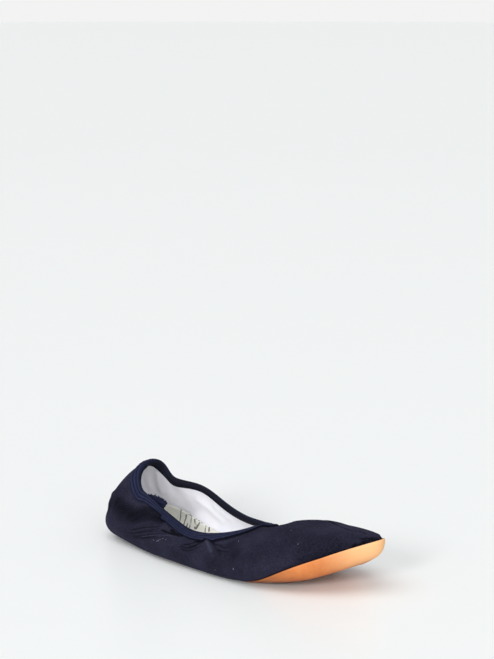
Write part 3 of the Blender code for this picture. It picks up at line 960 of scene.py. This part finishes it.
# %% Sole finish
def grained(name, dark, light, tip, painted_shade):
    material, tree, shader = recipe(name)
    grain = texture(tree, "Voronoi", Scale=1300.0)
    nap = texture(tree, "Noise", Scale=900.0, Detail=3.0)
    cloud = texture(tree, "Noise", Scale=45.0, Detail=5.0, Roughness=0.62)
    along, _, up = add(tree, "SeparateXYZ", (own_space(tree), 0)).outputs
    even = blend(tree, ramp(tree, cloud.outputs["Fac"], 0.3, 0.72), dark, light)
    fleck = maths(tree, "MULTIPLY", ramp(tree, nap.outputs["Fac"], 0.52, 0.75), 0.35)
    even = blend(tree, fleck, even, light)
    # Painted shade: darker from the ball backwards.
    even = blend(tree, maths(tree, "MULTIPLY", ramp(tree, along, 0.095, 0.055), 0.7), even, painted_shade)
    # Painted light: paler at the toe's tip.
    even = blend(tree, ramp(tree, along, 0.095, 0.122), even, tip)
    # Painted contact shadow: darker in the lowest 8 mm.
    low = maths(tree, "SUBTRACT", 1.0, ramp(tree, up, 0.0, 0.008))
    even = blend(tree, maths(tree, "MULTIPLY", low, 0.55), even, painted_shade)
    tree.links.new(even, shader.inputs["Base Color"])
    height = maths(tree, "ADD", grain.outputs["Distance"], nap.outputs["Fac"])
    bumped(tree, shader, height, 0.5, 0.00008)
    settle(shader, Roughness=0.62, Specular_IOR_Level=0.3)
    return material


# The tip colour is painted light; the last colour is painted shade.
sole_finish = grained(
    "tan_rubber", colour(184, 106, 54), colour(206, 128, 70),
    tip=colour(236, 182, 128), painted_shade=colour(118, 66, 34),
)
print("finish:", sole_finish.name)


# %% Sole
RIM_RINGS = ((0.012, 0.22), (0.020, 0.5), (0.012, 0.78))  # levels past the edge, share of the thickness
under_levels = levels(-1, MARGIN, 4) + levels(MARGIN, edge, 34)[1:]
under = [layer(level, sole_under(level)) for level in under_levels]
rim = [
    layer(edge + out, sole_under(edge + out) * (1 - share) + sole_top(edge) * share)
    for out, share in RIM_RINGS
]
top = [layer(level, sole_top(level)) for level in under_levels[::-1]]
sole = ring_mesh("rubber_sole", under + rim + top, sole_finish)
weld(sole)
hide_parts("outsole")

# %% [markdown]
# ## The insole
#
# The sock inside is cream cloth with a dark print. The print here is a plain
# scatter of little rings and bars, worked out from cells: in each cell the
# distance to its middle decides where a line of ink falls. Ink soaks in
# unevenly, so its edge is broken up with noise.


# %% Insole finish
DRIFT = 0.0018  # how far a line of ink strays
BAR_PITCH = 0.0038  # from one bar to the next


def printed(name, ground_colour, ink):
    material, tree, shader = recipe(name)
    drift = texture(tree, "Noise", Scale=260.0, Detail=2.0)
    shaken = add(
        tree, "VectorMath", (drift.outputs["Color"], 0), (own_space(tree), 2), operation="MULTIPLY_ADD"
    )
    shaken.inputs[1].default_value = (DRIFT, DRIFT, 0)
    cells = add(tree, "TexVoronoi", (shaken.outputs[0], "Vector"), Scale=98.0, Randomness=0.55)
    cells.voronoi_dimensions = "2D"
    away = cells.outputs["Distance"]
    inside_ring = maths(tree, "SUBTRACT", 1.0, ramp(tree, away, 0.36, 0.39))
    outer_line = maths(tree, "MULTIPLY", ramp(tree, away, 0.24, 0.27), inside_ring)
    dot = maths(tree, "SUBTRACT", 1.0, ramp(tree, away, 0.06, 0.10))
    kind = add(tree, "SeparateXYZ", (cells.outputs["Color"], 0)).outputs[0]
    apart = add(tree, "SeparateXYZ", (shaken.outputs[0], 0))
    slant = maths(tree, "ADD", apart.outputs[0], maths(tree, "MULTIPLY", kind, apart.outputs[1]))
    stripes = ramp(tree, wave(tree, slant, BAR_PITCH), 0.62, 0.82)
    bars = maths(tree, "MULTIPLY", stripes, ramp(tree, away, 0.44, 0.36))
    rings = maths(tree, "MAXIMUM", outer_line, dot)
    marks = blend(tree, ramp(tree, kind, 0.49, 0.51), rings, bars)
    soak = ramp(tree, drift.outputs["Fac"], 0.30, 0.50)
    inked = maths(tree, "MULTIPLY", maths(tree, "MULTIPLY", marks, soak), 0.8)
    along = add(tree, "SeparateXYZ", (own_space(tree), 0)).outputs[0]
    inked = maths(tree, "MULTIPLY", inked, ramp(tree, along, -0.084, -0.078))  # none at the heel
    tree.links.new(blend(tree, inked, ground_colour, ink), shader.inputs["Base Color"])
    nap = texture(tree, "Noise", Scale=1400.0, Detail=2.0)
    bumped(tree, shader, nap.outputs["Fac"], 0.5, 0.0001)
    settle(shader, Roughness=0.9, Specular_IOR_Level=0.2)
    return material


sock_finish = printed("printed_sock", colour(228, 227, 218), colour(70, 70, 74))
print("finish:", sock_finish.name)


# %% Insole
DIMPLE = 0.00025  # how far the sock's top is pressed in and out
sock_levels = levels(-1, MARGIN - SOCK_STEP, 8) + levels(MARGIN - SOCK_STEP / 3, sock, 30)


def dimples(level):
    waves = np.sin(gone * 120 + 4 * level) * np.sin(gone * 47 - 6 * level)
    return DIMPLE * waves * ease((sock - level) / 0.3)


under = [layer(level, sock_under(level)) for level in sock_levels]
top = [layer(level, sock_top(level) + dimples(level)) for level in sock_levels[::-1]]
insole = ring_mesh("printed_insole", under + top, sock_finish)
weld(insole)
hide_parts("insole")

# %% [markdown]
# ## The binding
#
# The elastic is a knitted tape folded over the raw edge of the upper. Its
# rubber cores run lengthways and stand up as three ribs on each face. A tape
# like that is best made as its cross-section: a path up the outer face, over
# the fold and down the inner face, with the ribs added to its depth. At the
# pinch the two ends meet: the front end is laid over the back one with a
# square cut. The knit's small pale stitches are too fine for the mesh, so they
# are two crossed waves in the colour.

# %% Binding sizes and finish
RIB = 0.00040  # how high a rib stands
RIBS = 3  # on each face
LAP = 0.0007  # how far the front end stands out over the back one
LAP_FADE = 1.2  # and over how many sections that dies away
TAPE_ROWS = 26  # rings on each face
FOLD_ROWS = 10  # rings over the fold


def knitted(name, dark, light, deep, pale_and_highlight, back):
    material, tree, shader = recipe(name)
    u, v = lay(tree)
    knit = maths(tree, "MULTIPLY", wave(tree, u, 0.0007), wave(tree, v, 0.0006))
    cloud = texture(tree, "Noise", Scale=420.0, Detail=4.0)
    mottle = ramp(tree, cloud.outputs["Fac"], 0.35, 0.68)
    # The inner half of the tape takes the colour given for the back: painted shade, the same tape as it
    # looks away from the light.
    inner = add(tree, "Attribute", attribute_name="inner").outputs["Fac"]
    in_row = ramp(tree, wave(tree, u, 0.0019), 0.55, 0.95)
    stitch = maths(tree, "MULTIPLY", in_row, ramp(tree, wave(tree, v, 0.0026), 0.2, 0.8))
    face = blend(tree, maths(tree, "MULTIPLY", stitch, 0.4), blend(tree, mottle, dark, light), pale_and_highlight)
    # Painted shade in the grooves and a painted highlight on the ribs; the inner half gets the shade
    # only.
    face = folded(tree, face, deep, pale_and_highlight)
    tree.links.new(blend(tree, inner, face, folded(tree, back, deep, back)), shader.inputs["Base Color"])
    bumped(tree, shader, knit, 0.9, 0.00014)
    settle(shader, Roughness=0.72, Sheen_Weight=0.03, Sheen_Roughness=0.4)
    settle(shader, Sheen_Tint=colour(140, 145, 205), Specular_IOR_Level=0.05)
    return material


# The colour for the back is the same tape in painted shade, for its inner half; the fourth colour is both
# the pale stitches and the painted highlight.
tape_finish = knitted(
    "navy_elastic", colour(19, 22, 39), colour(28, 31, 52), colour(8, 9, 17), colour(52, 57, 86),
    back=colour(24, 25, 35),
)
print("finish:", tape_finish.name)


# %% Binding
up_wall = unit(skin(2) - skin(2 - 5 * STEP))
out_wall = outward(2)
shares = np.linspace(1, 1 / TAPE_ROWS, TAPE_ROWS)  # how far down the tape, from its lower edge
tape_levels = [on_tape(share) for share in shares]
lapped = LAP * ease((place - LAP_PLACE) / 0.03) * (1 - ease((place - LAP_PLACE) / LAP_FADE))
lapped = lapped * (place < LAP_PLACE + LAP_FADE)


def rib(share):
    """Height of the ribs at a share of the tape's width down from the fold."""
    core = abs(math.sin(math.pi * RIBS * share)) ** 0.7
    return RIB * core * float(ease((1 - share) / 0.08))


CREEP = 0.00012


def creep(share):
    """The lower edge of the tape gives way a little where the puckers push."""
    return CREEP * share * np.cos(2 * math.pi * gone / (2 * PUCKER) + wander)


face = GAP + TAPE
outer_leg = [
    layer(level, -(face + rib(share) + lapped + creep(share) + swell(level, fine=False)))
    for level, share in zip(tape_levels, shares)
]
middle = layer(2, WALL / 2)
fold = [
    middle
    + out_wall * (WALL / 2 + face + (lapped[:, None] if math.cos(a) > 0 else 0)) * math.cos(a)
    + up_wall * (face + RIB * 0.6 * math.sin(3 * a) ** 2) * math.sin(a)
    for a in np.linspace(0, math.pi, FOLD_ROWS)
]
inner_leg = [
    layer(level, WALL + face + rib(share) - swell(level, fine=False))
    for level, share in zip(tape_levels[::-1], shares[::-1])
]
back_of_inner = [layer(level, WALL + GAP - swell(level, fine=False)) for level in tape_levels[::3]]
crown = [middle + out_wall * across * WALL / 2 + up_wall * GAP for across in (-1, 0, 1)]
back_of_outer = [layer(level, -GAP - swell(level, fine=False)) for level in tape_levels[::-3]]
# Painted shade in the grooves between the ribs and a painted highlight on the ribs, for the shader.
grooves = [np.full(STATIONS, min(1.9 * rib(share) / RIB - 1, 0.5)) for share in shares]
hidden = len(back_of_inner) + len(crown) + len(back_of_outer)
half_way = TAPE_ROWS + FOLD_ROWS // 2  # rings on each side of the fold's top
binding = ring_mesh(
    "elastic_binding",
    outer_leg + fold + inner_leg + back_of_inner + crown + back_of_outer,
    tape_finish,
    fold=grooves + plain * FOLD_ROWS + grooves[::-1] + plain * hidden,
    hollow=plain * (2 * TAPE_ROWS + FOLD_ROWS + hidden),
    # the inner half is marked for the painted shade colour
    inner=plain * half_way + [np.ones(STATIONS)] * half_way + plain * hidden,
)
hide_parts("binding")

# %% [markdown]
# ## The loose end of the tape
#
# Inside the collar, at the pinch, a cut end of the elastic stands up past the
# binding. Its top edge is frayed. The end is a small sheet with a thickness,
# and the fray is a row of short threads, each a thin bent tube.

# %% Shape of the loose end
END_PLACE = (3.96, 4.57)  # from and to, in sections
END_RISE = 0.0058  # how far it stands up past the collar, times the shares below
END_SLANT = 0.0035  # how far its front corner leans forward
END_STEEP = 3  # how much more it points up than along the wall
END_LEAN = 0.35  # how much it leans in
END_GAP = 0.0005  # how far it stands off the binding's inner face
END_SEWN = 0.7  # share of the binding's width that it reaches down

first, last = (station(p) for p in END_PLACE)
span = np.arange(first, last + 1)
end_share = (span - first) / (last - first)
flat_out = unit(out_wall * [1, 1, 0])[span]
back = WALL + GAP + TAPE + END_GAP
foot_row = layer(on_tape(END_SEWN), back + RIB)[span]
mid_row = (layer(2, back + RIB) + up_wall * (2 * GAP + TAPE))[span]
# It is low at the back, and highest a little past its middle.
tall = END_RISE * (0.55 + 0.4 * end_share + 0.42 * np.sin(math.pi * end_share))
tall = tall + 0.0003 * np.sin(end_share * 37)
rise_way = unit(up_wall[span] + UPRIGHT * END_STEEP - flat_out * END_LEAN)
forward = unit(np.gradient(mid_row, axis=0))
tip_row = mid_row + rise_way * tall[:, None] + forward * END_SLANT * ease(end_share * 1.5)[:, None]


# %% The loose end as a mesh
def strip(rows, thick, name, finish):
    """A closed strip from rows of points, thickened towards the foot."""
    body_rows = rows + [r - flat_out * thick for r in rows[::-1]]
    count, turns = len(rows[0]), len(body_rows)
    points = np.concatenate(body_rows) - CENTRE
    faces = []
    for r in range(turns):
        q = (r + 1) % turns
        for i in range(count - 1):
            faces.append((r * count + i, r * count + i + 1, q * count + i + 1, q * count + i))
    for end in (0, count - 1):
        for r in range(len(rows) - 1):
            c, d = turns - 2 - r, turns - 1 - r
            faces.append((r * count + end, (r + 1) * count + end, c * count + end, d * count + end))
    mesh = bpy.data.meshes.new(name)
    mesh.from_pydata(points.tolist(), [], faces)
    layer_uv = mesh.uv_layers.new(name="lay").data
    for poly in mesh.polygons:
        for loop in poly.loop_indices:
            p = points[mesh.loops[loop].vertex_index]
            layer_uv[loop].uv = (p[0] + p[1], p[2])
    return shown(mesh, name, finish)


end_rows = [foot_row + (mid_row - foot_row) * k / 3 for k in range(3)]
END_CURL = 0.0003
end_rows += [
    mid_row + (tip_row - mid_row) * k / 6 + flat_out * END_CURL * math.sin(k * 2.1) for k in range(7)
]
loose_end = strip(end_rows, TAPE, "tape_end", tape_finish)
weld(loose_end)
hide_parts("binding_end")


# %% [markdown]
# ### Threads
#
# Fray, stitches and lint are all short bent threads. One mesh of small tubes
# for each kind is simpler to handle than an object for every thread.


# %% Threads
def thread_mesh(name, paths, radius, finish, sides=6):
    """Many short threads as one mesh; each path is a list of points."""
    points, faces = [], []
    for path in paths:
        path = np.asarray(path, float)
        ahead = unit(np.gradient(path, axis=0))
        a = unit(np.cross(ahead, UPRIGHT + 0.01))
        b = np.cross(ahead, a)
        base = len(points)
        n = len(path)
        for k in range(n):
            thin = radius * (0.55 if k in (0, n - 1) else 1)
            for m in range(sides):
                turn = 2 * math.pi * m / sides
                points.append(path[k] + (a[k] * math.cos(turn) + b[k] * math.sin(turn)) * thin)
        for k in range(n - 1):
            for m in range(sides):
                o = (m + 1) % sides
                here, next_ = base + k * sides, base + (k + 1) * sides
                faces.append((here + m, here + o, next_ + o, next_ + m))
        faces.append(tuple(base + m for m in range(sides))[::-1])
        faces.append(tuple(base + (n - 1) * sides + m for m in range(sides)))
    mesh = bpy.data.meshes.new(name)
    mesh.from_pydata((np.array(points) - CENTRE).tolist(), [], faces)
    mesh.uv_layers.new(name="lay")
    return shown(mesh, name, finish)


# %% Fray
random = np.random.default_rng(7)
thread_finish = knitted(
    "navy_thread", colour(20, 23, 42), colour(34, 38, 64), colour(20, 23, 42), colour(34, 38, 64),
    back=colour(24, 25, 35),
)
FRAY_COUNT = 34
FRAY_LONG = (0.0006, 0.0017)
FRAY_SPREAD = 0.35  # how far a thread leans off
FRAY_SHAKE = 0.00006
FRAY_HALF = 0.00011  # half a thread's thickness
fray = []
for k in range(FRAY_COUNT):
    i = int(random.uniform(0, len(span)))
    start = tip_row[i] - flat_out[i] * random.uniform(0, TAPE) - UPRIGHT * 0.0003
    lean = rise_way[i] + random.normal(0, FRAY_SPREAD, 3)
    long = random.uniform(*FRAY_LONG)
    along_it = np.linspace(0, 1, 4)
    fray.append([start + unit(lean) * long * t + random.normal(0, FRAY_SHAKE, 3) * t for t in along_it])
frayed = thread_mesh("frayed_threads", fray, FRAY_HALF, thread_finish, 5)

# %% [markdown]
# ## Stitches
#
# One line of stitching holds the binding, near its lower edge, through both
# faces and the wall between. Each stitch is a short bent thread that rises out
# of the cloth and dips back in.

# %% Stitches
PITCH = 0.0030  # from one stitch to the next
STITCH = 0.0021  # the length of one
THREAD = 0.00016  # half its thickness
SEWN_SHARE = 0.86  # how far down the tape the line runs
sewn_level = on_tape(SEWN_SHARE)
sewn_out = layer(sewn_level, -(face + swell(sewn_level, fine=False) + lapped))
sewn_way = outward(sewn_level)
sewn_in = layer(sewn_level, WALL + face - swell(sewn_level, fine=False))


def stitch_line(line, way):
    """Stitches along a closed line of points, standing out of the cloth a little."""
    closed = np.concatenate([line, line[:1]])
    way = np.concatenate([way, way[:1]])
    walked = np.concatenate([[0], np.linalg.norm(np.diff(closed, axis=0), axis=1).cumsum()])
    count = int(walked[-1] / PITCH)
    paths = []
    for k in range(count):
        at = (k + 0.5) * walked[-1] / count + np.linspace(-0.5, 0.5, 6) * STITCH
        on = np.stack([np.interp(at, walked, closed[:, c]) for c in range(3)], 1)
        out = np.stack([np.interp(at, walked, way[:, c]) for c in range(3)], 1)
        bow = np.array([-0.8, 0.5, 1.0, 1.0, 0.5, -0.8])[:, None]
        paths.append(on + out * bow * THREAD)
    return paths


sewn = stitch_line(sewn_out, sewn_way) + stitch_line(sewn_in, -sewn_way)
stitches = thread_mesh("binding_stitches", sewn, THREAD, thread_finish)
print(len(sewn), "stitches")

# %% [markdown]
# ## Lint
#
# Dark canvas shows every bit of fluff. A few pale fibres lie on the vamp and
# the quarter, curled and up to a millimetre long.

# %% Lint
lint_finish = plain_weave(
    "pale_lint", colour(150, 150, 158), colour(200, 200, 206), pitch=0.0007, bump=0.00002
)
LINT = """
section level long_mm
7.85 0.91 1.0
8.04 1.58 0.8
7.17 0.70 0.7
9.90 1.57 0.9
9.71 1.30 0.9
4.82 1.11 0.9
4.66 1.10 0.7
4.93 1.20 0.7
5.03 1.26 0.7
5.15 1.28 0.6
4.88 1.14 0.7
"""
LINT_CLEAR = 0.00010  # how far a fibre lies off the cloth
LINT_HALF = 0.00009
lint_paths = []
for section, level, long in table_of(LINT):
    spot = station(float(section))
    level = float(level)
    lie = layer(level, -swell(level) - LINT_CLEAR)[spot]
    way = outward(level)[spot]
    side_way = unit(np.cross(way, random.normal(0, 1, 3)))
    curl = unit(np.cross(way, side_way))
    t = np.linspace(-0.5, 0.5, 6)[:, None] * float(long) / 1000
    lint_paths.append(lie + side_way * t + curl * np.sin(t * 2500) * 0.0001)
lint = thread_mesh("lint_fibres", lint_paths, LINT_HALF, lint_finish, 5)

# %% [markdown]
# ## Floor
#
# The shoe stands on a plain pale floor with a faint gloss, a wide disc. The
# camera just sees over the disc's far edge, so the sky's colour at the horizon
# is kept close to the floor's. A faint step in tone is still left there.


# %% Floor
def floor_recipe():
    material, tree, shader = recipe("studio_floor")
    cloud = texture(tree, "Noise", Scale=3.0, Detail=2.0)
    tone = blend(tree, cloud.outputs["Fac"], colour(242, 244, 243), colour(243, 245, 244))
    tree.links.new(tone, shader.inputs["Base Color"])
    settle(shader, Roughness=0.32, Specular_IOR_Level=0.25)
    return material


FLOOR_SIZE = 40
FLOOR_SIDES = 64
mesh = bpy.data.meshes.new("floor")
turns = np.linspace(0, 2 * math.pi, FLOOR_SIDES + 1)[:-1]
ring_points = [(FLOOR_SIZE * math.cos(a), FLOOR_SIZE * math.sin(a), 0) for a in turns]
mesh.from_pydata(ring_points, [], [tuple(range(FLOOR_SIDES))])
mesh.materials.append(floor_recipe())
floor = bpy.data.objects.new("floor", mesh)
bpy.context.scene.collection.objects.link(floor)
print("the floor is", 2 * FLOOR_SIZE, "m wide")

# %% [markdown]
# ## Light
#
# A studio lights a dark shoe from all round, and then from a few sides. The
# sky here is nearly white at the horizon and greyer above, which gives the soft
# contact shadow. Three suns add direction: a fairly narrow, low one on the
# outer side, which draws the folds, a very wide one from above, and a wide low
# one on the toe. How wide a sun is sets how soft its shadow is.

# %% Light
HORIZON = colour(242, 243, 242)
ZENITH = colour(174, 175, 177)
world = bpy.data.worlds.new("studio")
bpy.context.scene.world = world
world.use_nodes = True
sky = world.node_tree.nodes["Background"]
heading = add(world.node_tree, "TexCoord")
height = add(world.node_tree, "SeparateXYZ", (heading.outputs["Generated"], 0)).outputs[2]
dome = blend(world.node_tree, ramp(world.node_tree, height, 0.02, 0.30), HORIZON, ZENITH)
world.node_tree.links.new(dome, sky.inputs["Color"])
sky.inputs["Strength"].default_value = 1.0


def sun(name, power, spread, direction):
    """A sun that shines along a direction; spread is how wide it is, in degrees."""
    data = bpy.data.lights.new(name, "SUN")
    data.energy = power
    data.angle = math.radians(spread)
    body = bpy.data.objects.new(name, data)
    body.rotation_mode = "QUATERNION"
    body.rotation_quaternion = Vector(direction).to_track_quat("-Z", "Y")
    bpy.context.scene.collection.objects.link(body)
    return body


sun("front", 1.55, 14, (-0.30, 0.92, -0.36))
sun("above", 1.2, 60, (0.1, 0.35, -1.0))
sun("low_at_toe", 1.3, 50, (-0.8, 0.5, -0.28))
bpy.context.scene.view_settings.view_transform = "Standard"

# %% [markdown]
# ## Camera
#
# A long lens from 1.4 metres away keeps the shoe's proportions. The view is
# fixed by where the eye is and by its forward direction; the other two
# directions follow from keeping the horizon level.

# %% Camera
EYE = (0.955113, -0.956429, 0.382347)
FORWARD = np.array([-0.69315306, 0.70273778, -0.16030736])
SENSOR = 36  # in millimetres, like the lens
LENS = 2010.205 * SENSOR / 659
right_way = unit(np.cross(FORWARD, UPRIGHT))
top_way = np.cross(right_way, FORWARD)
view = bpy.data.cameras.new("camera")
view.sensor_width = SENSOR
view.lens = LENS
view.clip_start = 0.05
view.clip_end = 200
camera = bpy.data.objects.new("camera", view)
turn = Matrix([list(right_way), list(top_way), list(-FORWARD)]).transposed().to_4x4()
camera.matrix_world = Matrix.Translation(EYE) @ turn
bpy.context.scene.collection.objects.link(camera)
bpy.context.scene.camera = camera
print("lens", round(view.lens, 1), "mm")

# %% [markdown]
# ## Bringing the scene up to date
#
# Dressing a shoe should hardly change its size. At the end the scene is
# brought up to date once more.

# %% Finish
bpy.context.view_layer.update()
